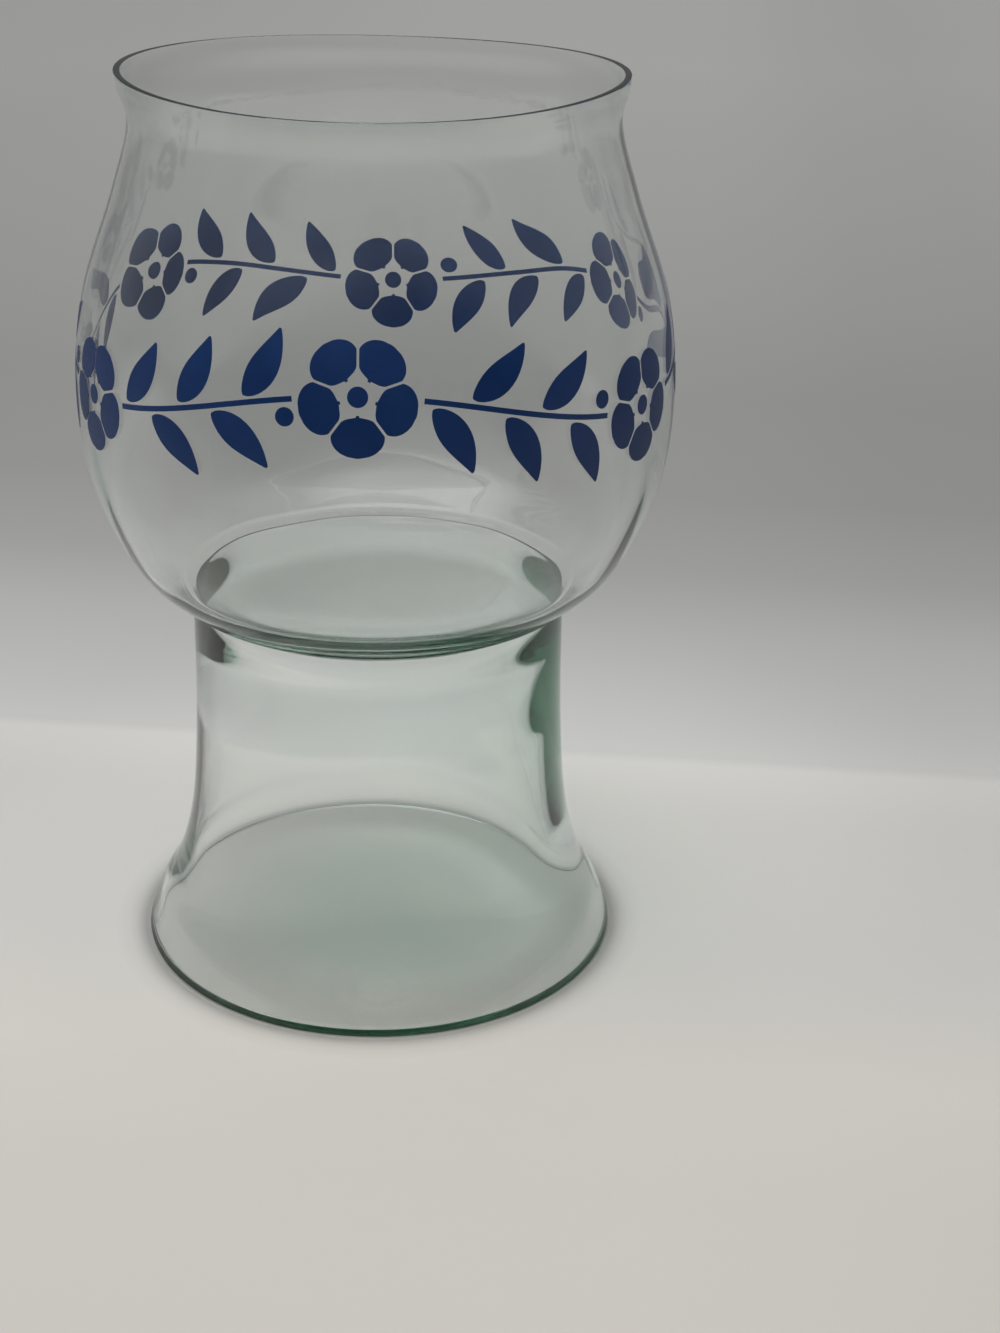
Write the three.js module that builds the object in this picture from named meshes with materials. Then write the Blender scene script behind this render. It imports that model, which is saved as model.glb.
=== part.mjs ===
// A glass flower vase: a clear round-bottomed bowl that rests on the collar of a hollow, flared, pale green
// base, with blue enamel fired onto the outside of the bowl.
// Millimetres, +Z up, origin at the middle of the foot.
import * as THREE from "three";

// Base, from the table up. Each height is measured from the table, each radius from the axis to the outside.
const FOOT_RADIUS = 65;
const FOOT_EDGE = 1.7; // thickness of the rounded foot edge
const SPREAD_RADIUS = 61.8;
const SPREAD_HEIGHT = 10;
const FLARE_RADIUS = 56.4;
const FLARE_HEIGHT = 20;
const SKIRT_RADIUS = 52.1;
const SKIRT_HEIGHT = 36;
const NECK_RADIUS = 49.8;
const NECK_HEIGHT = 64;
const COLLAR_RADIUS = 49.3;
const BASE_HEIGHT = 100.3;
const FOOT_WALL = 1.8; // the wall starts this thin at the foot and reaches BASE_WALL at the top of the skirt
const BASE_WALL = 2.9;
const COLLAR_WALL = 3.6;
const RIM_WALL = 2; // the collar's wall thins to this at the rim
const COLLAR_DEPTH = 12;
const SHOULDER_DROP = 22; // height over which the collar thins to the wall below it
const RIM_EDGE = 0.35; // radius of the two rounded edges of the rim, with the slanted seat between them
const BORE_SIDEWAYS = 1.8; // the blown bore sits this far towards -X, so one side wall is thick, the other thin
const BORE_FORWARDS = 1.3; // and this far towards -Y
const FLOOR_THICKNESS = 0.9; // of the floor at its edge
const FLOOR_MIDDLE = 6; // thickness of the floor on the axis
const FLOOR_CORNER = 0.4; // size of the slanted corner between the bore and the floor
const RECESS_DEPTH = 0.6;
const RECESS_RADIUS = 50; // the underside is slightly dished inside this radius, so the base stands on a ring
const REST_WIDTH = 12;

// Bowl. Each height is measured from the lowest point of the bowl.
const DOME_RADIUS = 145; // radius of the sphere that the bottom is part of
const DOME_EDGE = 53;
const KNEE_RADIUS = 63.3;
const KNEE_HEIGHT = 19.4;
const SWELL_RADIUS = 73.8;
const SWELL_HEIGHT = 42.5;
const BELLY_RADIUS = 76.3;
const BELLY_HEIGHT = 65;
const SHOULDER_RADIUS = 73.6;
const SHOULDER_HEIGHT = 89.5;
const SLOPE_RADIUS = 64.8;
const SLOPE_HEIGHT = 115.5;
const THROAT_RADIUS = 60.3;
const THROAT_HEIGHT = 132.5;
const LIP_RADIUS = 61.9;
const BOWL_HEIGHT = 142.6;
const BOWL_WALL = 1.2;
const DOME_WALL = 4.2;
const THICK_RADIUS = 42; // the bottom has its full thickness inside this radius
const THIN_RADIUS = 66; // and thins to BOWL_WALL at this one
const LIP_BEAD = 1.3;
const SEAT_GAP = 0.3; // clearance between the bowl and the rim that it rests on

// Enamel, laid out flat in millimetres along and across the band, then wrapped onto the glass.
const ENAMEL = 0.3; // thickness
const ENAMEL_GAP = 0.3; // clearance to the glass under it
const BAND_HEIGHT = 78; // middle of the band above the lowest point of the bowl
const REPEATS = 6;
const WAVE = 6; // rise and fall of the vine about the middle of the band
const BLOSSOM_RADIUS = 14;
const PETALS = 5;
const PETAL_NOTCH = 4.5; // depth of the dip between two petals
const PETAL_ROUNDNESS = 0.7; // 1 is a cosine wave, less is fuller petals
const EYE_RADIUS = 4.2;
const DOT_RADIUS = 2.4;
const STEM_WIDTH = 1.3;
const STENCIL_GAP = 1.1; // bare glass between neighbouring shapes
const LEAF_LENGTH = 18;
const LEAF_WIDTH = 7.2;
const LEAF_TIP = 0.5; // width of a leaf at its ends
const LEAF_SPACING = 8.8;
const LEAF_LEAN = 50; // degrees between a leaf and the stem
const LEAF_BEND = 30; // degrees that a leaf turns from its base to its tip
const BERRY_RADIUS = 2.2;

// Fineness of the faceting.
const SEGMENTS = 60;
const RECESS_STATIONS = 3;
const FLOOR_STATIONS = 5;
const RIM_STATIONS = 3;
const SIDE_STATIONS = 14;
const ENAMEL_CHORD = 5; // an enamel shape wider than this follows the glass in more steps across
const BOWL_STATIONS = 17;
const DOME_STATIONS = 4;
const LEAF_STATIONS = 7;
const PETAL_STATIONS = 8;
const STEM_STATIONS = 10;
const DOT_STATIONS = 6;

const TURN = 2 * Math.PI;
const radians = (degrees) => (degrees * Math.PI) / 180;
const lerp = THREE.MathUtils.lerp;
const smooth = THREE.MathUtils.smoothstep;

const vase = new THREE.Group();

const greenGlass = new THREE.MeshStandardMaterial({ color: 0xb9dccb, roughness: 0.03, metalness: 0 });
greenGlass.transparent = true;
greenGlass.opacity = 0.4;
const clearGlass = new THREE.MeshStandardMaterial({ color: 0xf0f6f4, roughness: 0.02, metalness: 0 });
clearGlass.transparent = true;
clearGlass.opacity = 0.3;
const blueEnamel = new THREE.MeshStandardMaterial({ color: 0x1c3578, roughness: 0.35, metalness: 0 });

function addPiece(group, name, geometry, material) {
  const piece = new THREE.Mesh(geometry, material);
  piece.name = name;
  group.add(piece);
}

// Evenly spaced points of a smooth curve through [radius, height] pairs.
function outline(pairs, count) {
  const through = pairs.map(([radius, height]) => new THREE.Vector3(radius, height, 0));
  const curve = new THREE.CatmullRomCurve3(through, false, "centripetal");
  return curve.getSpacedPoints(count).map((p) => new THREE.Vector2(p.x, p.y));
}

// Direction across an outline at a point, towards the inside of the vessel when the outline runs upwards.
function inwardAt(points, i) {
  const before = points[Math.max(i - 1, 0)];
  const after = points[Math.min(i + 1, points.length - 1)];
  const along = after.clone().sub(before).normalize();
  return new THREE.Vector2(-along.y, along.x);
}

// The outline moved inwards by the wall thickness, which may change with the point.
function inset(points, wallAt) {
  return points.map((point, i) => {
    return point.clone().addScaledVector(inwardAt(points, i), wallAt(point));
  });
}

// Points of an arc about a centre, from one angle to another in degrees, 0 being outwards and 90 upwards.
function arc(centre, radius, from, to, steps) {
  return Array.from({ length: steps + 1 }, (unused, i) => {
    const angle = radians(lerp(from, to, i / steps));
    const x = centre.x + radius * Math.cos(angle);
    return new THREE.Vector2(x, centre.y + radius * Math.sin(angle));
  });
}

// The part of a rising outline above a height, from the point exactly at that height.
function cutAbove(points, height) {
  const i = points.findIndex((p) => p.y > height);
  const share = (height - points[i - 1].y) / (points[i].y - points[i - 1].y);
  return [points[i - 1].clone().lerp(points[i], share), ...points.slice(i)];
}

// A solid of revolution about Z. The profile runs up the outside and down the inside, from axis to axis.
function revolve(profile) {
  return new THREE.LatheGeometry(profile, SEGMENTS).rotateX(Math.PI / 2);
}

// Base
const restOuter = RECESS_RADIUS + REST_WIDTH;
const floorTop = RECESS_DEPTH + FLOOR_THICKNESS;
const shoulderHeight = BASE_HEIGHT - COLLAR_DEPTH;

// The seat on the rim slopes as the dome does where it meets the middle of the rim.
const seatTilt = Math.asin((COLLAR_RADIUS - RIM_WALL / 2) / DOME_RADIUS);
const outerEdge = new THREE.Vector2(COLLAR_RADIUS - RIM_EDGE, BASE_HEIGHT - RIM_EDGE);
const innerEdge = new THREE.Vector2(COLLAR_RADIUS - RIM_WALL + RIM_EDGE, 0);
innerEdge.y = outerEdge.y - (outerEdge.x - innerEdge.x) * Math.tan(seatTilt);

// How much of the skirt, the shoulder and the collar lies below a height, each from 0 to 1.
const skirtShare = (height) => smooth(height, 0, SKIRT_HEIGHT);
const shoulderShare = (height) => smooth(height, shoulderHeight - SHOULDER_DROP, shoulderHeight);
const collarShare = (height) => smooth(height, shoulderHeight, innerEdge.y);

function baseWall(point) {
  const belowShoulder = lerp(FOOT_WALL, BASE_WALL, skirtShare(point.y));
  const belowCollar = lerp(belowShoulder, COLLAR_WALL, shoulderShare(point.y));
  return lerp(belowCollar, RIM_WALL, collarShare(point.y));
}

function makeBase() {
  const underside = Array.from({ length: RECESS_STATIONS + 1 }, (unused, i) => {
    const share = i / RECESS_STATIONS;
    return new THREE.Vector2(share * RECESS_RADIUS, RECESS_DEPTH * (1 - share ** 2));
  });
  underside.push(new THREE.Vector2(restOuter, 0));
  const edgeCentre = new THREE.Vector2(FOOT_RADIUS - FOOT_EDGE / 2, FOOT_EDGE / 2);
  const footEdge = arc(edgeCentre, FOOT_EDGE / 2, -70, 20, 4);
  const footTop = footEdge.pop();
  const side = outline(
    [
      [footTop.x, footTop.y],
      [SPREAD_RADIUS, SPREAD_HEIGHT],
      [FLARE_RADIUS, FLARE_HEIGHT],
      [SKIRT_RADIUS, SKIRT_HEIGHT],
      [NECK_RADIUS, NECK_HEIGHT],
      [COLLAR_RADIUS, outerEdge.y],
    ],
    SIDE_STATIONS,
  );
  const seatAngle = 90 + THREE.MathUtils.radToDeg(seatTilt);
  const rim = [
    ...arc(outerEdge, RIM_EDGE, 30, seatAngle, RIM_STATIONS),
    ...arc(innerEdge, RIM_EDGE, seatAngle, 150, RIM_STATIONS),
  ];
  const inner = inset(side, baseWall).filter((p) => p.y < innerEdge.y);
  inner.push(new THREE.Vector2(COLLAR_RADIUS - RIM_WALL, innerEdge.y));
  const bore = cutAbove(inner, floorTop + FLOOR_CORNER);
  const floorRadius = bore[0].x - FLOOR_CORNER;
  const floor = Array.from({ length: FLOOR_STATIONS + 1 }, (unused, i) => {
    const share = 1 - i / FLOOR_STATIONS;
    const swell = (FLOOR_MIDDLE - FLOOR_THICKNESS) * (1 - share ** 2) ** 2;
    return new THREE.Vector2(share * floorRadius, floorTop + swell);
  });
  const outside = [...underside, ...footEdge, ...side];
  const profile = [...outside, ...rim, ...bore.reverse(), ...floor];
  const geometry = revolve(profile);

  // The bore is moved off the middle between the foot and the collar: not at all at the floor or the rim.
  const position = geometry.getAttribute("position");
  const firstInside = outside.length + rim.length;
  for (let i = 0; i < position.count; i += 1) {
    const place = i % profile.length;
    const height = position.getZ(i);
    const isBore = place >= firstInside && place < firstInside + bore.length;
    if (isBore) {
      const sideways = BORE_SIDEWAYS * skirtShare(height) * (1 - shoulderShare(height));
      const forwards = BORE_FORWARDS * skirtShare(height) * (1 - collarShare(height));
      position.setX(i, position.getX(i) - sideways);
      position.setY(i, position.getY(i) - forwards);
    }
  }
  return geometry;
}

addPiece(vase, "base", makeBase(), greenGlass);

// Bowl, in its own group at the height where its dome rests on the seat of the collar
const bowl = new THREE.Group();
const seatDistance = DOME_RADIUS + SEAT_GAP + RIM_EDGE;
const domeCentre = outerEdge.y + (seatDistance - outerEdge.x * Math.sin(seatTilt)) / Math.cos(seatTilt);
bowl.position.z = domeCentre - DOME_RADIUS;
vase.add(bowl);

const domeRise = (radius) => DOME_RADIUS - Math.sqrt(DOME_RADIUS ** 2 - radius ** 2);

const bowlOutside = outline(
  [
    [DOME_EDGE, domeRise(DOME_EDGE)],
    [KNEE_RADIUS, KNEE_HEIGHT],
    [SWELL_RADIUS, SWELL_HEIGHT],
    [BELLY_RADIUS, BELLY_HEIGHT],
    [SHOULDER_RADIUS, SHOULDER_HEIGHT],
    [SLOPE_RADIUS, SLOPE_HEIGHT],
    [THROAT_RADIUS, THROAT_HEIGHT],
    [LIP_RADIUS, BOWL_HEIGHT - LIP_BEAD],
  ],
  BOWL_STATIONS,
);

function bowlWall(point) {
  const share = point.y < BELLY_HEIGHT ? smooth(point.x, THICK_RADIUS, THIN_RADIUS) : 1;
  return lerp(DOME_WALL, BOWL_WALL, share);
}

function makeBowl() {
  const dome = Array.from({ length: DOME_STATIONS }, (unused, i) => {
    const radius = (DOME_EDGE * i) / DOME_STATIONS;
    return new THREE.Vector2(radius, domeRise(radius));
  });
  const outside = [...dome, ...bowlOutside];
  const inside = inset(outside, bowlWall);
  inside[0].x = 0;
  const last = outside.length - 1;
  const beadCentre = outside[last].clone().add(inside[last]).multiplyScalar(0.5);
  beadCentre.y = BOWL_HEIGHT - LIP_BEAD / 2;
  const bead = arc(beadCentre, LIP_BEAD / 2, -15, 195, 5);
  return revolve([...outside, ...bead, ...inside.reverse()]);
}

addPiece(bowl, "bowl", makeBowl(), clearGlass);

// Enamel
// Distance along the outside of the bowl up to each outline point.
const distances = [0];
for (let i = 1; i < bowlOutside.length; i += 1) {
  distances.push(distances[i - 1] + bowlOutside[i].distanceTo(bowlOutside[i - 1]));
}

// The outline and its inward direction, smoothly between its points, at a distance along it.
function meridian(distance) {
  let i = 0;
  while (i < distances.length - 2 && distances[i + 1] < distance) i += 1;
  const share = (distance - distances[i]) / (distances[i + 1] - distances[i]);
  const point = bowlOutside[i].clone().lerp(bowlOutside[i + 1], share);
  const inward = inwardAt(bowlOutside, i).lerp(inwardAt(bowlOutside, i + 1), share);
  return { point, inward: inward.normalize() };
}

function distanceAtHeight(height) {
  const i = bowlOutside.findIndex((p) => p.y > height) - 1;
  const share = (height - bowlOutside[i].y) / (bowlOutside[i + 1].y - bowlOutside[i].y);
  return lerp(distances[i], distances[i + 1], share);
}

const bandDistance = distanceAtHeight(BAND_HEIGHT);
const bandRadius = meridian(bandDistance).point.x;

// A flat point of the band, wrapped onto the bowl about a middle angle and lifted off the glass.
function onGlass(flat, middle, lift) {
  const { point, inward } = meridian(bandDistance + flat.y);
  const lifted = point.addScaledVector(inward, -lift);
  const angle = middle + flat.x / bandRadius;
  return [lifted.x * Math.sin(angle), -lifted.x * Math.cos(angle), lifted.y];
}

// A thin wrapped solid between a left and a right edge, each a list of flat points. A ring has no ends.
function enamelShape(left, right, middle, isRing) {
  const width = Math.max(...left.map((point, i) => point.distanceTo(right[i])));
  const across = Math.ceil(width / ENAMEL_CHORD);
  const corners = 2 * (across + 1);
  const positions = [];
  left.forEach((start, i) => {
    const row = Array.from({ length: across + 1 }, (unused, k) => start.clone().lerp(right[i], k / across));
    row.forEach((point) => positions.push(...onGlass(point, middle, ENAMEL_GAP)));
    row.reverse().forEach((point) => positions.push(...onGlass(point, middle, ENAMEL_GAP + ENAMEL)));
  });
  const indices = [];
  const steps = isRing ? left.length : left.length - 1;
  for (let i = 0; i < steps; i += 1) {
    const here = i * corners;
    const next = ((i + 1) % left.length) * corners;
    for (let k = 0; k < corners; k += 1) {
      const m = (k + 1) % corners;
      indices.push(here + k, next + k, next + m);
      indices.push(here + k, next + m, here + m);
    }
  }
  if (!isRing) {
    const end = (left.length - 1) * corners;
    for (let k = 0; k < across; k += 1) {
      const m = corners - 1 - k;
      indices.push(k, k + 1, m, k + 1, m - 1, m);
      indices.push(end + k, end + m, end + k + 1, end + k + 1, end + m, end + m - 1);
    }
  }
  const geometry = new THREE.BufferGeometry();
  geometry.setAttribute("position", new THREE.Float32BufferAttribute(positions, 3));
  geometry.setIndex(indices);
  geometry.computeVertexNormals();
  return geometry;
}

// A shape along a spine of flat points, with a half width at each.
function alongSpine(spine, halfWidthAt, middle) {
  const left = [];
  const right = [];
  spine.forEach((point, i) => {
    const across = inwardAt(spine, i).multiplyScalar(halfWidthAt(i / (spine.length - 1)));
    left.push(point.clone().add(across));
    right.push(point.clone().sub(across));
  });
  return enamelShape(left, right, middle, false);
}

// A flat round dot, as chords across it. The first and last chords are short, not points.
function dot(centre, radius, middle) {
  const firstChord = 168;
  const angleAt = (t) => radians(lerp(firstChord, 180 - firstChord, t));
  const spine = Array.from({ length: DOT_STATIONS }, (unused, i) => {
    const angle = angleAt(i / (DOT_STATIONS - 1));
    return new THREE.Vector2(centre.x + radius * Math.cos(angle), centre.y);
  });
  return alongSpine(spine, (t) => radius * Math.sin(angleAt(t)), middle);
}

// A ring of rounded petals about an open eye.
function blossom(centre, middle) {
  const count = PETALS * PETAL_STATIONS;
  const left = [];
  const right = [];
  for (let i = 0; i < count; i += 1) {
    const angle = (TURN * i) / count;
    const lobe = Math.abs(Math.cos((PETALS * angle) / 2)) ** PETAL_ROUNDNESS;
    const reach = BLOSSOM_RADIUS - PETAL_NOTCH * (1 - lobe);
    const direction = new THREE.Vector2(Math.sin(angle), Math.cos(angle));
    left.push(centre.clone().addScaledVector(direction, EYE_RADIUS));
    right.push(centre.clone().addScaledVector(direction, reach));
  }
  return enamelShape(right, left, middle, true);
}

// The vine rises and falls once over two blossoms, which sit on its crests and in its troughs.
const pitch = (TURN * bandRadius) / REPEATS;
const vineHeight = (x) => WAVE * Math.cos((Math.PI * x) / pitch);

function vineDirection(x) {
  const slope = (-WAVE * Math.PI * Math.sin((Math.PI * x) / pitch)) / pitch;
  return new THREE.Vector2(1, slope).normalize();
}

const stemStart = BLOSSOM_RADIUS + STENCIL_GAP;
const stemLength = pitch - 2 * stemStart;
const leafCount = Math.floor(stemLength / LEAF_SPACING);
const leafSide = (i) => (i % 2 ? 1 : -1);
const berrySide = leafSide(leafCount);

// The direction straight away from the stem on one of its sides.
function awayFromStem(x, side) {
  const along = vineDirection(x);
  return new THREE.Vector2(-along.y, along.x).multiplyScalar(side);
}

// A flat point beside the stem, at a distance from its edge.
function besideStem(x, side, distance) {
  const onStem = new THREE.Vector2(x, vineHeight(x));
  return onStem.addScaledVector(awayFromStem(x, side), STEM_WIDTH / 2 + distance);
}

// A pointed leaf on one side of the stem, a small gap away from it.
function leaf(x, side, flip, middle) {
  const along = vineDirection(x);
  const away = awayFromStem(x, side);
  const heading = radians(LEAF_LEAN);
  const bend = radians(LEAF_BEND);
  const start = besideStem(x, side, STENCIL_GAP);
  const step = LEAF_LENGTH / (LEAF_STATIONS - 1);
  const spine = [start];
  for (let i = 1; i < LEAF_STATIONS; i += 1) {
    const angle = heading + bend * (i / (LEAF_STATIONS - 1) - 0.5);
    const next = spine[i - 1].clone().addScaledVector(along, step * Math.cos(angle));
    spine.push(next.addScaledVector(away, step * Math.sin(angle)));
  }
  spine.forEach((point) => {
    point.y *= flip;
  });
  const halfWidth = (t) => lerp(LEAF_TIP, LEAF_WIDTH, Math.sin(Math.PI * t ** 0.8) ** 0.9) / 2;
  return alongSpine(spine, halfWidth, middle);
}

for (let repeat = 0; repeat < REPEATS; repeat += 1) {
  const middle = (TURN * repeat) / REPEATS;
  const flip = repeat % 2 ? -1 : 1;
  const number = repeat + 1;
  const centre = new THREE.Vector2(0, WAVE * flip);
  addPiece(bowl, `blossom_${number}`, blossom(centre, middle), blueEnamel);
  addPiece(bowl, `blossom_dot_${number}`, dot(centre, DOT_RADIUS, middle), blueEnamel);

  const spine = Array.from({ length: STEM_STATIONS }, (unused, i) => {
    const x = stemStart + (stemLength * i) / (STEM_STATIONS - 1);
    return new THREE.Vector2(x, vineHeight(x) * flip);
  });
  addPiece(bowl, `stem_${number}`, alongSpine(spine, () => STEM_WIDTH / 2, middle), blueEnamel);

  for (let i = 0; i < leafCount; i += 1) {
    const x = stemStart + LEAF_SPACING * (i + 0.25);
    addPiece(bowl, `leaf_${number}_${i + 1}`, leaf(x, leafSide(i), flip, middle), blueEnamel);
  }

  const berryX = stemStart + stemLength - BERRY_RADIUS;
  const berry = besideStem(berryX, berrySide, STENCIL_GAP + BERRY_RADIUS);
  berry.y *= flip;
  addPiece(bowl, `berry_${number}`, dot(berry, BERRY_RADIUS, middle), blueEnamel);
}

export default vase;
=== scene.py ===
"""The looks of a two-piece glass flower vase: a clear bowl with blue enamel, on a pale green base."""
import math

import bmesh
import bpy
import numpy as np
from mathutils import Matrix, Vector


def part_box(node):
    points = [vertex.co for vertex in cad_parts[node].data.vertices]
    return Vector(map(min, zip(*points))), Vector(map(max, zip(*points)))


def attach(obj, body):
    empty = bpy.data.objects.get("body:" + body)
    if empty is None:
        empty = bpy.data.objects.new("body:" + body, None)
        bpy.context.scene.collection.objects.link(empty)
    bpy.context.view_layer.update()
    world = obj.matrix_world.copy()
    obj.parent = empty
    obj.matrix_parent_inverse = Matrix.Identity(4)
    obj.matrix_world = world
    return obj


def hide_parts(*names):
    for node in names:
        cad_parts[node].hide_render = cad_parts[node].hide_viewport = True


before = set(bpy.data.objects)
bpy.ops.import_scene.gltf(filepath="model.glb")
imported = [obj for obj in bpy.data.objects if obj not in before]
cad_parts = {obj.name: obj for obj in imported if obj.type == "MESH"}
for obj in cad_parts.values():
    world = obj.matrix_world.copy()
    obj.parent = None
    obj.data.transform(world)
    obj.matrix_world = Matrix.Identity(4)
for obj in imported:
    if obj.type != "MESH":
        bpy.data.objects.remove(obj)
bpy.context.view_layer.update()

MM = 0.001  # sizes are in millimetres, except those of the floor

# Camera, fitted to the photograph's rim, belly, waist and foot; its place is from the foot's middle
CAMERA_PLACE = (32.9, -545.7, 324.2)
CAMERA_PITCH = 24.36  # degrees below the horizon
CAMERA_ROLL = 1.13  # degrees
FOCAL_PIXELS, IMAGE_HEIGHT = 2200, 1333  # focal length and height of the photograph in its pixels
SENSOR = 36  # along the longer side of the picture

# Base: radius and height of each point of its outline
FOOT_RADIUS, FOOT_EDGE = 65, 1.7
FOOT_ARC = (-80, 20)  # degrees of its rounded edge
BASE_SIDE = [(61.8, 10), (56.4, 20), (52.1, 36), (49.8, 64)]
SKIRT_HEIGHT = 36
COLLAR_RADIUS, BASE_HEIGHT, RIM_EDGE = 49.3, 100.3, 0.2
FOOT_WALL, BASE_WALL, COLLAR_WALL, RIM_WALL = 1.8, 2.9, 3.1, 0.5
RIM_START = 5  # degrees into the rim's rounded edges where they leave the wall
COLLAR_DEPTH, SHOULDER_DROP = 12, 22
BORE_SIDEWAYS, BORE_FORWARDS = 1.8, 1.3  # how far the blown bore is off the middle
FLOOR_THICKNESS, FLOOR_MIDDLE, FLOOR_FILLET = 0.4, 6, 0.3
RECESS_DEPTH, RECESS_RADIUS = 0.6, 50
REST_RADIUS, REST_BAND = 62, 4  # the flat ring's outer radius, and its strip of flat glass at the edge
REST_LIFT = 0.05  # keeps the glass clear of the floor's own surface

# Bowl: radius and height above its lowest point
DOME_RADIUS, DOME_EDGE = 145, 53
BOWL_SIDE = [
    (63.3, 19.4), (73.8, 42.5), (76.3, 65), (73.6, 89.5), (64.8, 115.5), (60.3, 132.5), (61.7, 139.5),
]
BELLY_RADIUS, BELLY_HEIGHT = max(BOWL_SIDE)
LIP_RADIUS, BOWL_HEIGHT, LIP_EDGE = 61.9, 142.6, 0.1
LIP_GAP = 0.2  # the least height between the lip's rounded edge and the next point of the hollow
BOWL_WALL, DOME_WALL = 1.6, 3.4
THICK_RADIUS, THIN_RADIUS = 42, 66  # the bottom thins from one radius to the other

# The bowl's unevenness: its hollow is off the middle, towards the front, and rippled
HOLLOW_OFFSET = 0.3
HOLLOW_START, HOLLOW_FULL = 3, 40  # heights over the bowl's lowest point between which this grows
HOLLOW_FADE, HOLLOW_END = 20, 4  # distances below the lip between which it fades
RIPPLES = [(8, 0.05, 0.6), (13, 0.04, 2.1), (21, 0.03, 4.0)]  # waves in a turn, size, start in radians

# The lip's unevenness: its mean distance outwards and downwards, and the waves round it
LIP_DROOP = 16  # how far below the lip this starts
LIP_SPREAD, LIP_SAG = 1.6, 0.3
LIP_SPREAD_WAVES = [(1, -1.85, -1.16), (2, 0.3, 0.54), (3, 1.92, -0.18), (4, -0.2, 0.11)]
LIP_SAG_WAVES = [(2, 0.25, 0)]  # waves in a turn, size of the cosine, size of the sine

# Enamel band, laid out flat
ENAMEL, ENAMEL_DEPTH = 0.1, 0.05  # thickness, and how far it is fused into the glass
BAND_HEIGHT, REPEATS, WAVE = 78, 6, 6
BLOSSOM_RADIUS, PETALS, EYE_RADIUS, DOT_RADIUS = 14, 5, 4.2, 2.4
# Petal: half width and place of the widest part as shares of its length, and how blunt its ends are
PETAL_FULLNESS, PETAL_WIDEST, PETAL_BLUNT = 0.62, 0.52, 0.004
STEM_WIDTH, STENCIL_GAP = 1.3, 1.1
PETAL_CLEARANCE = STENCIL_GAP / 3  # from a petal's side to the line halfway to the next
LEAF_LENGTH, LEAF_WIDTH, LEAF_TIP, LEAF_SPACING = 18, 7.2, 0.5, 8.8
LEAF_LEAN, LEAF_BEND = 50, 30  # degrees
LEAF_SKEW, LEAF_ROUND = 0.8, 0.9  # powers that move its widest part to the stem and fill out its edge
FIRST_LEAF = 0.25  # how far along the stem the first leaf is, in leaf spacings
BERRY_RADIUS = 2.2
DISC_END = 4  # degrees left flat at each end of a round dot
ENAMEL_STEP = 1.5  # the widest step across a shape that follows the glass
BACK_FACING = -0.5  # faces turned this far to the axis are seen through the glass, and get the lighter blues of painted backlight

# Enamel's darkest and lightest blue from its own side, and from behind through the glass, where the
# lighter blues are painted backlight that stands in for light shining through the enamel
FRONT_BLUES = (0.005, 0.028, 0.112), (0.012, 0.040, 0.145)
PAINTED_BACKLIGHT_BLUES = (0.012, 0.075, 0.30), (0.02, 0.095, 0.36)

# Glass: the colour it lets through, and how dense it is and how much its surface waves in bowl and base
GLASS_IOR, GLASS_TINT = 1.51, (0.40, 0.65, 0.54)
BOWL_DENSITY, BASE_DENSITY = 30, 40
BOWL_SURFACE_WAVE, BASE_SURFACE_WAVE = 0.05, 0.08

# Light: a soft glow overhead, weaker in reflections and through glass, so that the glass looks calm
LIGHT_DIRECTION = Vector((-0.2, -0.2, 1)).normalized()
GLOW, REFLECTED_GLOW, TRANSMITTED_GLOW = 3.1, 0.4, 2.7

# Floor, in metres: the table's back edge and its turn in degrees, and the place that the bowl dims, which
# a painted pool of light lifts
FLOOR_SIZE = 8
TABLE_BACK, TABLE_TURN, EDGE_BLUR, EDGE_SPAN = 0.1065, 5.2, 0.003, 0.01
WALL_SHARE = 0.88  # how dark the wall is just past the table's edge, as painted shade
SHADED_PLACE, PAINTED_FILL_LIGHT = (0.03, 0.07, 0), 1.2
FILL_CORE, FILL_REACH = 0.03, 0.17
# Contact shadow: millimetres beyond the foot's edge, and the share of light that is left
CONTACT_SHADOW = [
    (-5, 1), (-1.5, 1), (0, 0.5), (1.2, 0.5), (2.5, 0.66), (4, 0.82), (6, 0.93), (10, 1), (15, 1),
]

# Fineness
SEGMENTS = 360
OUTLINE_STEP = 1
SPLINE_POINTS, DOME_POINTS, UNDERSIDE_POINTS, FLOOR_POINTS = 40, 40, 12, 60
EDGE_STEPS, FOOT_STEPS = 8, 10
PETAL_POINTS, LEAF_POINTS, STEM_POINTS, DISC_POINTS = 26, 30, 50, 24
SHARP_ANGLE = 50  # degrees; edges bent more than this stay crisp


# Outlines

def spline(points, step):
    """Points a step apart on the smooth curve through the given ones (centripetal Catmull-Rom)."""
    given = [np.array(p, float) for p in points]
    given = [2 * given[0] - given[1]] + given + [2 * given[-1] - given[-2]]
    dense = []
    for a, b, c, d in zip(given, given[1:], given[2:], given[3:]):
        ab, bc, cd = (math.sqrt(np.linalg.norm(q - p)) for p, q in ((a, b), (b, c), (c, d)))
        start = ((b - a) / ab - (c - a) / (ab + bc) + (c - b) / bc) * bc
        end = ((c - b) / bc - (d - b) / (bc + cd) + (d - c) / cd) * bc
        for t in np.linspace(0, 1, SPLINE_POINTS, endpoint=False):
            cubic = 2 * b - 2 * c + start + end
            square = 3 * (c - b) - 2 * start - end
            dense.append(b + t * (start + t * (square + t * cubic)))
    dense.append(given[-2])
    return resample(np.array(dense), step)


def resample(points, step):
    """Points about a step apart along a broken line."""
    lengths = np.concatenate([[0], np.cumsum(np.linalg.norm(np.diff(points, axis=0), axis=1))])
    count = max(2, round(lengths[-1] / step))
    wanted = np.linspace(0, lengths[-1], count + 1)
    return np.stack([np.interp(wanted, lengths, points[:, k]) for k in (0, 1)], axis=1)


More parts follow.
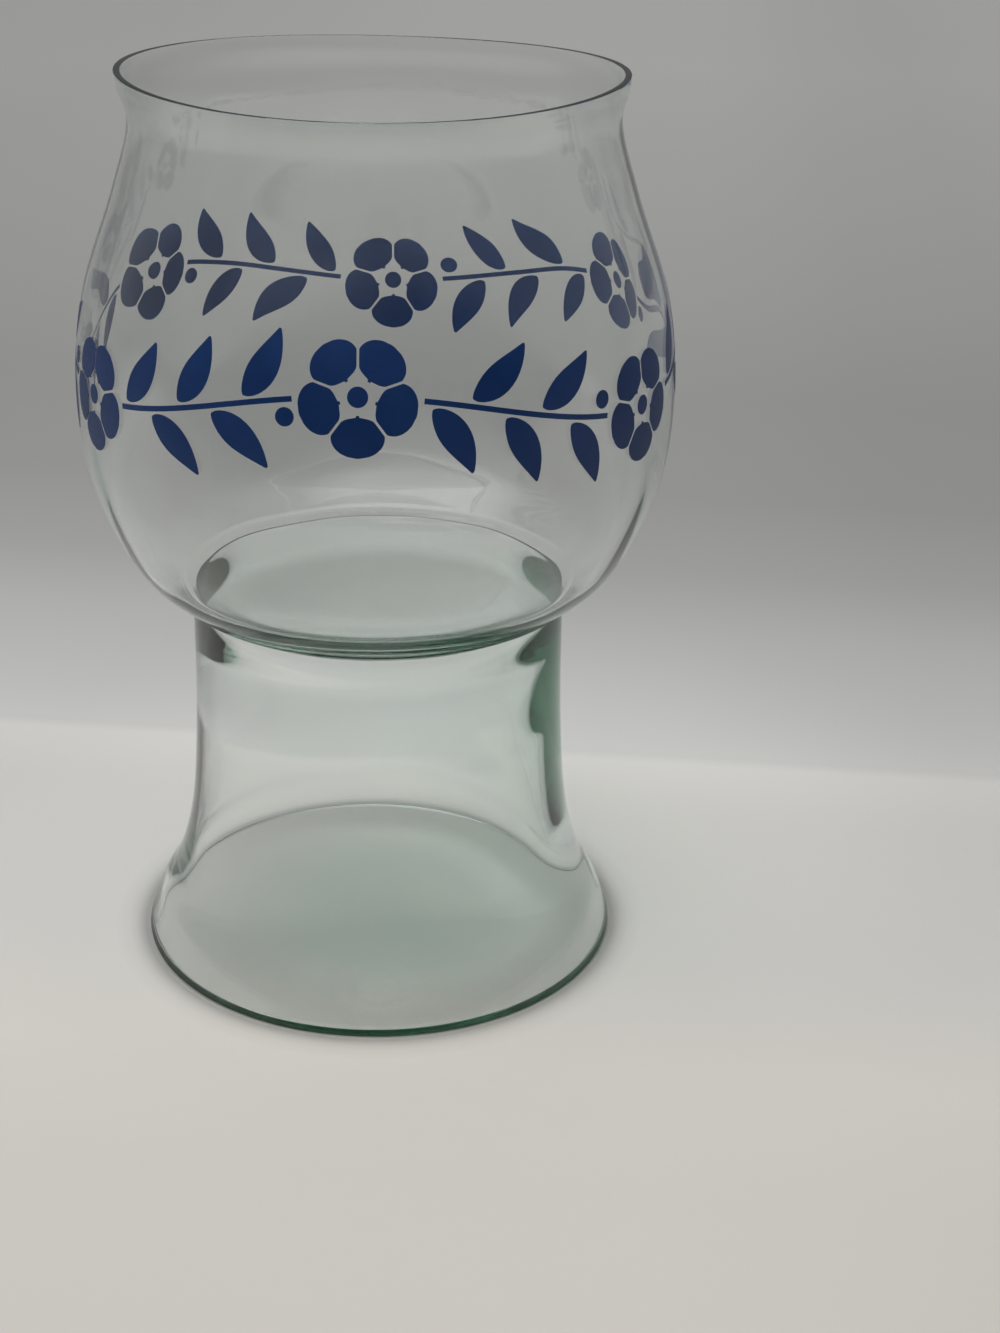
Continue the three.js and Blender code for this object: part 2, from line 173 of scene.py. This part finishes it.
def inward(points):
    """The unit direction across an outline, into the vessel where the outline runs upwards."""
    along = np.gradient(points, axis=0)
    along /= np.linalg.norm(along, axis=1)[:, None]
    return np.stack([-along[:, 1], along[:, 0]], axis=1)


def arc(centre, radius, first, last, steps):
    """Points of an arc, with angles in degrees, 0 outwards and 90 upwards."""
    angles = np.radians(np.linspace(first, last, steps + 1))
    return np.array(centre) + radius * np.stack([np.cos(angles), np.sin(angles)], axis=1)


def smooth(x, low, high):
    """Rises smoothly from 0 at low to 1 at high."""
    t = np.clip((x - low) / (high - low), 0, 1)
    return t * t * (3 - 2 * t)


def blend(low, high, share):
    """The value a share of the way from low to high."""
    return low + (high - low) * share


# Meshes

def make_object(name, vertices, faces, body, slot, replaced):
    """A smooth piece that rides on a body and stands for a node; its slot argument is not used."""
    mesh = bpy.data.meshes.new(name)
    mesh.from_pydata([tuple(v) for v in np.asarray(vertices) * MM], [], faces)
    outward(mesh)
    mesh.polygons.foreach_set("use_smooth", [True] * len(mesh.polygons))
    mesh.set_sharp_from_angle(angle=math.radians(SHARP_ANGLE))
    piece = bpy.data.objects.new(name, mesh)
    bpy.context.scene.collection.objects.link(piece)
    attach(piece, body)
    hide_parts(replaced)
    return piece


def outward(mesh):
    """Turns every face outwards."""
    work = bmesh.new()
    work.from_mesh(mesh)
    bmesh.ops.recalc_face_normals(work, faces=work.faces)
    work.to_mesh(mesh)
    work.free()


def revolve(profile, shape=None):
    """Vertices and faces of a solid turned about Z. The profile runs from axis to axis, and shape may move
    the grid of vertices, which has a row for each angle and a column for each point of the profile."""
    rings = profile[1:-1]
    angles = np.linspace(0, 2 * math.pi, SEGMENTS, endpoint=False)
    radius, height = rings[:, 0], rings[:, 1]
    sines, cosines = np.sin(angles)[:, None], np.cos(angles)[:, None]
    grid = np.stack([sines * radius, -cosines * radius, np.ones_like(sines) * height], axis=2)
    if shape is not None:
        grid = shape(grid)
    count = len(rings)
    vertices = list(grid.reshape(-1, 3)) + [(0, 0, profile[0][1]), (0, 0, profile[-1][1])]
    first, last = SEGMENTS * count, SEGMENTS * count + 1
    faces = []
    for i in range(SEGMENTS):
        here, there = i * count, (i + 1) % SEGMENTS * count
        faces.append((first, here, there))
        faces.append((last, there + count - 1, here + count - 1))
        for k in range(count - 1):
            faces.append((here + k, here + k + 1, there + k + 1, there + k))
    return vertices, faces


# Materials

def new_material(name):
    material = bpy.data.materials.new(name)
    material.use_nodes = True
    return material, material.node_tree.nodes, material.node_tree.links


def range_node(nodes, links, source, given, wanted, kind="LINEAR"):
    """Maps a number from a given range to a wanted one, and keeps it inside."""
    place = nodes.new("ShaderNodeMapRange")
    place.interpolation_type = kind
    for name, value in zip(("From Min", "From Max", "To Min", "To Max"), (*given, *wanted)):
        place.inputs[name].default_value = value
    links.new(source, place.inputs["Value"])
    return place


def vector_node(nodes, links, operation, *sources):
    """A vector calculation on other nodes' outputs."""
    node = nodes.new("ShaderNodeVectorMath")
    node.operation = operation
    for source, socket in zip(sources, node.inputs):
        links.new(source, socket)
    return node


def object_noise(nodes, links, scale, detail=2.0, stretch=(1, 1, 1)):
    coordinates = nodes.new("ShaderNodeTexCoord")
    mapping = nodes.new("ShaderNodeMapping")
    mapping.inputs["Scale"].default_value = stretch
    noise = nodes.new("ShaderNodeTexNoise")
    noise.inputs["Scale"].default_value = scale
    noise.inputs["Detail"].default_value = detail
    links.new(coordinates.outputs["Object"], mapping.inputs["Vector"])
    links.new(mapping.outputs["Vector"], noise.inputs["Vector"])
    return noise.outputs["Fac"]


def add_bump(nodes, links, height, strength, distance):
    bump = nodes.new("ShaderNodeBump")
    bump.inputs["Strength"].default_value = strength
    bump.inputs["Distance"].default_value = distance
    links.new(height, bump.inputs["Height"])
    links.new(bump.outputs["Normal"], nodes["Principled BSDF"].inputs["Normal"])


def glass(name, density, surface_wave):
    """Polished glass with the faint waves of blown glass."""
    material, nodes, links = new_material(name)
    shader = nodes["Principled BSDF"]
    shader.inputs["Base Color"].default_value = (1, 1, 1, 1)
    shader.inputs["Roughness"].default_value = 0
    shader.inputs["IOR"].default_value = GLASS_IOR
    shader.inputs["Transmission Weight"].default_value = 1
    unevenness = object_noise(nodes, links, 22, 1.0, (1, 1, 0.45))
    add_bump(nodes, links, unevenness, surface_wave, 0.002)
    volume = nodes.new("ShaderNodeVolumeAbsorption")
    volume.inputs["Color"].default_value = (*GLASS_TINT, 1)
    volume.inputs["Density"].default_value = density
    links.new(volume.outputs["Volume"], nodes["Material Output"].inputs["Volume"])
    return material


def enamel_material(name, dark, light):
    """Satin enamel, a little uneven in colour and gloss."""
    material, nodes, links = new_material(name)
    shader = nodes["Principled BSDF"]
    ramp = nodes.new("ShaderNodeValToRGB")
    ramp.color_ramp.elements[0].position = 0.3
    ramp.color_ramp.elements[0].color = (*dark, 1)
    ramp.color_ramp.elements[1].position = 0.7
    ramp.color_ramp.elements[1].color = (*light, 1)
    links.new(object_noise(nodes, links, 60, 3.0), ramp.inputs["Fac"])
    links.new(ramp.outputs["Color"], shader.inputs["Base Color"])
    shader.inputs["Specular IOR Level"].default_value = 0.2
    roughness = range_node(nodes, links, object_noise(nodes, links, 900, 2.0), (0, 1), (0.32, 0.48))
    links.new(roughness.outputs["Result"], shader.inputs["Roughness"])
    add_bump(nodes, links, object_noise(nodes, links, 1500, 2.0), 0.15, 0.0001)
    return material


clear_glass = glass("clear_glass", BOWL_DENSITY, BOWL_SURFACE_WAVE)
green_glass = glass("green_glass", BASE_DENSITY, BASE_SURFACE_WAVE)
blue_enamel = enamel_material("blue_enamel", *FRONT_BLUES)
# The enamel's inner faces get lighter blues, painted light that stands in for light shining through the
# enamel from behind
blue_enamel_painted_backlight = enamel_material("blue_enamel_painted_backlight", *PAINTED_BACKLIGHT_BLUES)


# Base

def make_base():
    floor_top = RECESS_DEPTH + FLOOR_THICKNESS
    tilt = math.asin((COLLAR_RADIUS - RIM_WALL / 2) / DOME_RADIUS)
    outer_edge = (COLLAR_RADIUS - RIM_EDGE, BASE_HEIGHT - RIM_EDGE)
    inner_x = COLLAR_RADIUS - RIM_WALL + RIM_EDGE
    inner_edge = (inner_x, outer_edge[1] - (outer_edge[0] - inner_x) * math.tan(tilt))
    shoulder = BASE_HEIGHT - COLLAR_DEPTH

    def skirt_share(height):
        return smooth(height, 0, SKIRT_HEIGHT)

    def shoulder_share(height):
        return smooth(height, shoulder - SHOULDER_DROP, shoulder)

    def collar_share(height):
        return smooth(height, shoulder, inner_edge[1])

    rim = np.concatenate([
        arc(outer_edge, RIM_EDGE, RIM_START, 90 + math.degrees(tilt), EDGE_STEPS),
        arc(inner_edge, RIM_EDGE, 90 + math.degrees(tilt), 180 - RIM_START, EDGE_STEPS),
    ])

    across = np.linspace(0, 1, UNDERSIDE_POINTS)
    underside = np.stack([across * RECESS_RADIUS, RECESS_DEPTH * (1 - across ** 2)], axis=1)
    rest = np.array([(REST_RADIUS - REST_BAND, 0), (REST_RADIUS, 0)])
    edge_centre = (FOOT_RADIUS - FOOT_EDGE / 2, FOOT_EDGE / 2)
    foot_edge = arc(edge_centre, FOOT_EDGE / 2, *FOOT_ARC, FOOT_STEPS)
    side = spline([foot_edge[-1], *BASE_SIDE, (COLLAR_RADIUS, outer_edge[1])], OUTLINE_STEP)

    wall = blend(FOOT_WALL, BASE_WALL, skirt_share(side[:, 1]))
    wall = blend(wall, COLLAR_WALL, shoulder_share(side[:, 1]))
    wall = blend(wall, RIM_WALL, collar_share(side[:, 1]))
    bore = (side + inward(side) * wall[:, None])[::-1]
    bore = bore[(bore[:, 1] > floor_top + FLOOR_FILLET) & (bore[:, 1] < inner_edge[1])]
    corner = (bore[-1][0] - FLOOR_FILLET, floor_top + FLOOR_FILLET)
    fillet = arc(corner, FLOOR_FILLET, 0, -90, EDGE_STEPS)
    toward = np.linspace(1, 0, FLOOR_POINTS)[1:]
    swell = (FLOOR_MIDDLE - FLOOR_THICKNESS) * (1 - toward ** 2) ** 2
    floor = np.stack([fillet[-1][0] * toward, floor_top + swell], axis=1)
    outside = np.concatenate([underside, rest, foot_edge[:-1], side, rim])
    profile = np.concatenate([outside, bore, fillet[1:], floor])
    profile[:, 1] = np.maximum(profile[:, 1], REST_LIFT)
    first_inside = len(outside) - 1  # the bore's first column in the grid, which leaves out the axis

    def move_bore(grid):
        """Moves the bore off the middle, less towards the floor, the collar and the rim."""
        bore_part = grid[:, first_inside:]
        height = bore_part[:, :, 2].copy()
        bore_part[:, :, 0] -= BORE_SIDEWAYS * skirt_share(height) * (1 - shoulder_share(height))
        bore_part[:, :, 1] -= BORE_FORWARDS * skirt_share(height) * (1 - collar_share(height))
        return grid

    piece = make_object("glass_base", *revolve(profile, move_bore), "base", "green_glass", "base")
    piece.data.materials.append(green_glass)


make_base()


# Bowl

def dome_rise(radius):
    """The height of the bowl's round bottom at a radius."""
    return DOME_RADIUS - math.sqrt(DOME_RADIUS ** 2 - radius ** 2)


bowl_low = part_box("bowl")[0].z / MM
dome = np.array([(r, dome_rise(r)) for r in np.linspace(0, DOME_EDGE, DOME_POINTS)[:-1]])
lip_height = BOWL_HEIGHT - LIP_EDGE
bowl_points = [(DOME_EDGE, dome_rise(DOME_EDGE)), *BOWL_SIDE, (LIP_RADIUS, lip_height)]
bowl_side = spline(bowl_points, OUTLINE_STEP)


def waves(angle, sizes):
    """The sum of waves round the axis, each with its count in a turn and its cosine and sine sizes."""
    return sum(
        cosine * np.cos(count * angle) + sine * np.sin(count * angle)
        for count, cosine, sine in sizes
    )


def make_bowl():
    outside = np.concatenate([dome, bowl_side])
    thinned = smooth(outside[:, 0], THICK_RADIUS, THIN_RADIUS)
    wall = blend(DOME_WALL, BOWL_WALL, np.where(outside[:, 1] < BELLY_HEIGHT, thinned, 1))
    inside = outside + inward(outside) * wall[:, None]
    inside[0, 0] = 0
    lip = np.concatenate([
        arc((LIP_RADIUS - LIP_EDGE, lip_height), LIP_EDGE, 0, 90, EDGE_STEPS),
        arc((LIP_RADIUS - BOWL_WALL + LIP_EDGE, lip_height), LIP_EDGE, 90, 180, EDGE_STEPS),
    ])
    inside = inside[inside[:, 1] < lip_height - LIP_GAP]
    profile = np.concatenate([outside[:-1], lip, inside[::-1]])
    profile[:, 1] += bowl_low
    first_inside = len(outside) - 2 + len(lip) // 2  # the grid's first column inside the lip

    def shape(grid):
        """Moves and ripples the hollow as in blown glass, and bends the lip."""
        height = grid[:, :, 2] - bowl_low
        angle = np.linspace(0, 2 * math.pi, SEGMENTS, endpoint=False)[:, None]
        faded = smooth(height, BOWL_HEIGHT - HOLLOW_FADE, BOWL_HEIGHT - HOLLOW_END)
        hollow = smooth(height, HOLLOW_START, HOLLOW_FULL) * (1 - faded)
        hollow[:, :first_inside] = 0
        grid[:, :, 1] -= HOLLOW_OFFSET * hollow
        ripple = sum(size * np.sin(count * angle + start) for count, size, start in RIPPLES)
        grid[:, :, :2] *= 1 + (ripple * hollow / BELLY_RADIUS)[:, :, None]
        near_lip = smooth(height, BOWL_HEIGHT - LIP_DROOP, BOWL_HEIGHT)
        spread = (LIP_SPREAD + waves(angle, LIP_SPREAD_WAVES)) * near_lip
        grid[:, :, :2] *= 1 + (spread / LIP_RADIUS)[:, :, None]
        grid[:, :, 2] -= (LIP_SAG + waves(angle, LIP_SAG_WAVES)) * near_lip
        return grid

    piece = make_object("glass_bowl", *revolve(profile, shape), "bowl", "clear_glass", "bowl")
    piece.data.materials.append(clear_glass)


make_bowl()


# Enamel

side_lengths = np.concatenate([[0], np.cumsum(np.linalg.norm(np.diff(bowl_side, axis=0), axis=1))])
side_inward = inward(bowl_side)
band_distance = float(np.interp(BAND_HEIGHT, bowl_side[:, 1], side_lengths))
band_radius = float(np.interp(band_distance, side_lengths, bowl_side[:, 0]))


def on_glass(flat, middle, lift):
    """Flat points of the band, wrapped onto the bowl about a middle angle and lifted off the glass."""
    distance = band_distance + flat[:, 1]
    radius, height, radial, upward = (
        np.interp(distance, side_lengths, column)
        for column in (bowl_side[:, 0], bowl_side[:, 1], side_inward[:, 0], side_inward[:, 1])
    )
    radius = radius - lift * radial
    height = height - lift * upward + bowl_low
    angle = middle + flat[:, 0] / band_radius
    return np.stack([radius * np.sin(angle), -radius * np.cos(angle), height], axis=1)


def strip(left, right, middle):
    """A thin wrapped solid between two edges, split across so that it follows the glass."""
    widest = np.linalg.norm(left - right, axis=1).max()
    across = np.linspace(0, 1, max(2, 1 + math.ceil(widest / ENAMEL_STEP)))
    rows = [left + (right - left) * share for share in across]
    columns = len(rows)
    under = [on_glass(row, middle, -ENAMEL_DEPTH) for row in rows]
    over = [on_glass(row, middle, ENAMEL - ENAMEL_DEPTH) for row in rows[::-1]]
    loop = np.stack(under + over, axis=1)
    corners = 2 * columns
    vertices = loop.reshape(-1, 3)
    faces = []
    for i in range(len(left) - 1):
        here, there = i * corners, (i + 1) * corners
        for k in range(corners):
            m = (k + 1) % corners
            faces.append((here + k, there + k, there + m, here + m))
    for start in (0, (len(left) - 1) * corners):
        for k in range(columns - 1):
            a, b = start + k, start + k + 1
            faces.append((a, b, start + corners - 2 - k, start + corners - 1 - k))
    return vertices, faces


def along_spine(spine, half_widths, middle):
    """A wrapped shape with a width at each point of its spine."""
    across = inward(spine) * half_widths[:, None]
    return strip(spine + across, spine - across, middle)


def disc(centre, radius, middle):
    angles = np.radians(np.linspace(180 - DISC_END, DISC_END, DISC_POINTS))
    spine = np.stack([centre[0] + radius * np.cos(angles), np.full(DISC_POINTS, centre[1])], axis=1)
    return along_spine(spine, radius * np.sin(angles), middle)


def joined(parts):
    """The vertices and faces of several shapes as one."""
    vertices, faces = [], []
    for more_vertices, more_faces in parts:
        start = len(vertices)
        vertices.extend(more_vertices)
        faces.extend(tuple(start + i for i in face) for face in more_faces)
    return vertices, faces


def petal(centre, heading, middle):
    """A rounded petal, narrow at the eye and blunt at its outer end."""
    t = np.linspace(0, 1, PETAL_POINTS)
    length = BLOSSOM_RADIUS - EYE_RADIUS
    reach = EYE_RADIUS + length * t
    direction = np.array([math.sin(heading), math.cos(heading)])
    side = np.array([direction[1], -direction[0]])
    spine = centre + reach[:, None] * direction
    room = reach * math.tan(math.pi / PETALS) - PETAL_CLEARANCE
    bulge = 1 - ((t - PETAL_WIDEST) / (1 - PETAL_WIDEST)) ** 2
    widths = np.minimum(room, length * PETAL_FULLNESS * np.sqrt(np.maximum(bulge, PETAL_BLUNT)))
    return strip(spine - side * widths[:, None], spine + side * widths[:, None], middle)


def blossom(centre, middle):
    return joined(petal(centre, 2 * math.pi * (k + 0.5) / PETALS, middle) for k in range(PETALS))


pitch = 2 * math.pi * band_radius / REPEATS
stem_start = BLOSSOM_RADIUS + STENCIL_GAP
stem_length = pitch - 2 * stem_start
leaf_count = math.floor(stem_length / LEAF_SPACING)


def vine_height(x):
    """The height of the stem's middle line over the band's, at a distance from a blossom's middle."""
    return WAVE * np.cos(math.pi * x / pitch)


def vine_direction(x):
    slope = -WAVE * math.pi / pitch * math.sin(math.pi * x / pitch)
    return np.array([1, slope]) / math.hypot(1, slope)


def beside_stem(x, side, distance):
    """A place on one side of the stem, with the directions along and away from the stem there."""
    along = vine_direction(x)
    away = np.array([-along[1], along[0]]) * side
    return np.array([x, vine_height(x)]) + away * (STEM_WIDTH / 2 + distance), along, away


def leaf(x, side, flip, middle):
    start, along, away = beside_stem(x, side, STENCIL_GAP)
    t = np.linspace(0, 1, LEAF_POINTS)
    angles = math.radians(LEAF_LEAN) + math.radians(LEAF_BEND) * (t - 0.5)
    steps = LEAF_LENGTH / (len(t) - 1) * (np.cos(angles)[:, None] * along + np.sin(angles)[:, None] * away)
    spine = start + np.concatenate([[[0, 0]], np.cumsum(steps[1:], axis=0)])
    spine[:, 1] *= flip
    fullness = np.maximum(np.sin(math.pi * t ** LEAF_SKEW), 0) ** LEAF_ROUND
    widths = LEAF_TIP + (LEAF_WIDTH - LEAF_TIP) * fullness
    return along_spine(spine, widths / 2, middle)


def add_enamel(name, shape):
    piece = make_object("enamel_" + name, *shape, "bowl", "blue_enamel", name)
    piece.data.materials.append(blue_enamel)
    piece.data.materials.append(blue_enamel_painted_backlight)
    # Faces seen from behind through the glass take the second material, whose lighter blues are painted
    # backlight
    for face in piece.data.polygons:
        if face.normal.xy.dot(face.center.xy.normalized()) < BACK_FACING:
            face.material_index = 1


def make_repeat(repeat):
    """One blossom and the stem that leads on from it, with its leaves and berry."""
    middle = 2 * math.pi * repeat / REPEATS
    flip = -1 if repeat % 2 else 1
    number = repeat + 1
    centre = np.array([0, WAVE * flip])
    add_enamel(f"blossom_{number}", blossom(centre, middle))
    add_enamel(f"blossom_dot_{number}", disc(centre, DOT_RADIUS, middle))
    x = np.linspace(stem_start, stem_start + stem_length, STEM_POINTS)
    stem = np.stack([x, vine_height(x) * flip], axis=1)
    add_enamel(f"stem_{number}", along_spine(stem, np.full(STEM_POINTS, STEM_WIDTH / 2), middle))
    for i in range(leaf_count):
        x = stem_start + LEAF_SPACING * (i + FIRST_LEAF)
        side = 1 if i % 2 else -1
        add_enamel(f"leaf_{number}_{i + 1}", leaf(x, side, flip, middle))
    berry, _, _ = beside_stem(stem_start + stem_length - BERRY_RADIUS, 1, STENCIL_GAP + BERRY_RADIUS)
    berry[1] *= flip
    add_enamel(f"berry_{number}", disc(berry, BERRY_RADIUS, middle))


for repeat in range(REPEATS):
    make_repeat(repeat)


# Floor, light and camera

def ramp_node(nodes, links, source, low, high, stops):
    """A colour ramp over a number between low and high, with stops of a place and a colour."""
    place = range_node(nodes, links, source, (low, high), (0, 1))
    ramp = nodes.new("ShaderNodeValToRGB")
    elements = ramp.color_ramp.elements
    while len(elements) < len(stops):
        elements.new(0.5)
    for element, (at, colour) in zip(elements, stops):
        element.position = (at - low) / (high - low)
        element.color = (*colour, 1)
    links.new(place.outputs["Result"], ramp.inputs["Fac"])
    return ramp.outputs["Color"]


def grey(level):
    return (level, level, level)


def front_tone(level):
    """A tone of the table's front, which is the warmest."""
    return (level * 1.045, level, level * 0.925)


def table_tone(level):
    return (level, level * 0.984, level * 0.94)


def wall_tone(level):
    """A tone of the wall, which the painted shade at the table's edge darkens by WALL_SHARE."""
    tone = level / WALL_SHARE
    return (tone, tone, tone * 0.972)


def floor_material():
    """A pale table with painted shade: its tone drops towards the front, to the sides, at its back edge,
    as at the foot of a wall, and with distance, and a painted contact shadow rings the foot; a painted
    pool of light lifts it where the bowl dims it.
    """
    material, nodes, links = new_material("pale_floor")
    shader = nodes["Principled BSDF"]
    shader.inputs["Roughness"].default_value = 0.8
    place = nodes.new("ShaderNodeTexCoord").outputs["Object"]
    turned = nodes.new("ShaderNodeMapping")
    turned.inputs["Rotation"].default_value = (0, 0, math.radians(TABLE_TURN))
    links.new(place, turned.inputs["Vector"])
    separate = nodes.new("ShaderNodeSeparateXYZ")
    links.new(turned.outputs["Vector"], separate.inputs["Vector"])
    sideways, backwards = separate.outputs["X"], separate.outputs["Y"]
    distance = vector_node(nodes, links, "LENGTH", place).outputs["Value"]
    # Painted shade in the table's pale tone: darker towards the front, and on the wall past the back edge
    # darker going up, darkest part way and lighter further back
    behind = ramp_node(nodes, links, backwards, -1, 2, [
        (-1.0, table_tone(0.08)), (-0.5, table_tone(0.15)), (-0.22, front_tone(0.546)),
        (-0.12, front_tone(0.567)), (-0.07, front_tone(0.605)), (-0.02, table_tone(0.59)),
        (0.07, table_tone(0.57)), (TABLE_BACK - 0.007, table_tone(0.60)),
        (TABLE_BACK, table_tone(0.60)), (TABLE_BACK + 0.008, wall_tone(0.53)),
        (0.13, wall_tone(0.50)), (0.165, wall_tone(0.46)), (0.21, wall_tone(0.415)),
        (0.27, wall_tone(0.33)), (0.36, wall_tone(0.28)), (0.5, wall_tone(0.272)),
        (0.7, wall_tone(0.303)), (0.95, wall_tone(0.325)), (1.3, wall_tone(0.345)),
        (1.7, wall_tone(0.365)), (2.0, wall_tone(0.385)),
    ])
    # Painted shade to the sides: darker to the right of the vase and far to the left
    across = ramp_node(nodes, links, sideways, -1, 1, [
        (-1.0, grey(0.9)), (-0.45, grey(0.93)), (-0.2, grey(1)), (0.08, grey(1)), (0.12, grey(0.98)),
        (0.17, grey(0.94)), (0.25, grey(0.92)), (0.4, grey(0.96)), (0.7, grey(1)),
    ])
    # Painted shade that darkens the floor beyond 1.5 m
    away = ramp_node(nodes, links, distance, 0, 4, [(0.0, grey(1)), (1.5, grey(1)), (4.0, grey(0.6))])
    rings = [((FOOT_RADIUS + beyond) * MM, grey(level)) for beyond, level in CONTACT_SHADOW]
    contact = ramp_node(nodes, links, distance, rings[0][0], rings[-1][0], rings)
    # Painted shade: a soft step that darkens the wall past the table's back edge
    edge = ramp_node(nodes, links, backwards, TABLE_BACK - EDGE_SPAN, TABLE_BACK + EDGE_SPAN, [
        (TABLE_BACK - EDGE_SPAN, grey(1)), (TABLE_BACK - EDGE_BLUR, grey(1)),
        (TABLE_BACK + EDGE_BLUR, grey(WALL_SHARE)), (TABLE_BACK + EDGE_SPAN, grey(WALL_SHARE)),
    ])
    # Painted light: a soft pool that lifts the table's tone where the bowl dims it, most within the core
    # and none past the reach
    shaded = vector_node(nodes, links, "DISTANCE", place)
    shaded.inputs[1].default_value = SHADED_PLACE
    reach = (FILL_CORE, FILL_REACH)
    painted_fill_light = range_node(nodes, links, shaded.outputs["Value"], reach, (PAINTED_FILL_LIGHT, 1), "SMOOTHSTEP")
    tone = behind
    for share in (away, across, contact, edge, painted_fill_light.outputs["Result"]):
        tone = vector_node(nodes, links, "MULTIPLY", tone, share).outputs["Vector"]
    links.new(tone, shader.inputs["Base Color"])
    return material


def make_floor():
    mesh = bpy.data.meshes.new("floor")
    corners = [(x * FLOOR_SIZE, y * FLOOR_SIZE, 0) for x, y in ((-1, -1), (1, -1), (1, 1), (-1, 1))]
    mesh.from_pydata(corners, [], [(0, 1, 2, 3)])
    mesh.materials.append(floor_material())
    floor = bpy.data.objects.new("floor", mesh)
    bpy.context.scene.collection.objects.link(floor)


def make_world():
    """A soft glow overhead, over a grey horizon and a darker belt that are dimmer on the camera's side."""
    world = bpy.data.worlds.new("studio")
    bpy.context.scene.world = world
    world.use_nodes = True
    nodes, links = world.node_tree.nodes, world.node_tree.links
    direction = nodes.new("ShaderNodeTexCoord").outputs["Generated"]
    toward = vector_node(nodes, links, "DOT_PRODUCT", direction)
    toward.inputs[1].default_value = LIGHT_DIRECTION
    glow = ramp_node(nodes, links, toward.outputs["Value"], 0, 1, [
        (0.0, grey(0)), (0.55, grey(0.02)), (0.8, grey(0.25)), (0.95, grey(1)), (1.0, grey(1)),
    ])
    separate = nodes.new("ShaderNodeSeparateXYZ")
    links.new(direction, separate.inputs["Vector"])
    belt = ramp_node(nodes, links, separate.outputs["Z"], 0, 1, [
        (0.0, grey(0.26)), (0.08, grey(0.22)), (0.35, grey(0.05)), (0.6, grey(0.05)), (1.0, grey(0.2)),
    ])
    facing = ramp_node(nodes, links, separate.outputs["Y"], -1, 1, [
        (-1.0, grey(0.15)), (-0.2, grey(0.4)), (0.4, grey(1)), (1.0, grey(1)),
    ])
    room = vector_node(nodes, links, "MULTIPLY", belt, facing).outputs["Vector"]
    paths = nodes.new("ShaderNodeLightPath").outputs
    reflected = range_node(nodes, links, paths["Is Glossy Ray"], (0, 1), (GLOW, REFLECTED_GLOW))
    strength = range_node(nodes, links, paths["Is Transmission Ray"], (0, 1), (GLOW, TRANSMITTED_GLOW))
    links.new(reflected.outputs["Result"], strength.inputs["To Min"])
    light = vector_node(nodes, links, "MULTIPLY_ADD", glow, strength.outputs["Result"], room)
    links.new(light.outputs["Vector"], nodes["Background"].inputs["Color"])


def make_camera():
    data = bpy.data.cameras.new("camera")
    data.sensor_width = SENSOR
    data.lens = FOCAL_PIXELS / IMAGE_HEIGHT * SENSOR
    camera = bpy.data.objects.new("camera", data)
    pitch_turn = Matrix.Rotation(math.radians(90 - CAMERA_PITCH), 4, "X")
    roll_turn = Matrix.Rotation(math.radians(CAMERA_ROLL), 4, "Z")
    camera.matrix_world = Matrix.Translation(Vector(CAMERA_PLACE) * MM) @ pitch_turn @ roll_turn
    bpy.context.scene.collection.objects.link(camera)
    bpy.context.scene.camera = camera


def set_light_paths():
    """Enough bounces for light to leave the thick glass of the foot and the rims."""
    cycles = bpy.context.scene.cycles
    cycles.max_bounces = 64
    cycles.glossy_bounces = 48
    cycles.transmission_bounces = 48
    cycles.blur_glossy = 0


make_floor()
make_world()
set_light_paths()
make_camera()
bpy.context.scene.view_settings.view_transform = "Standard"
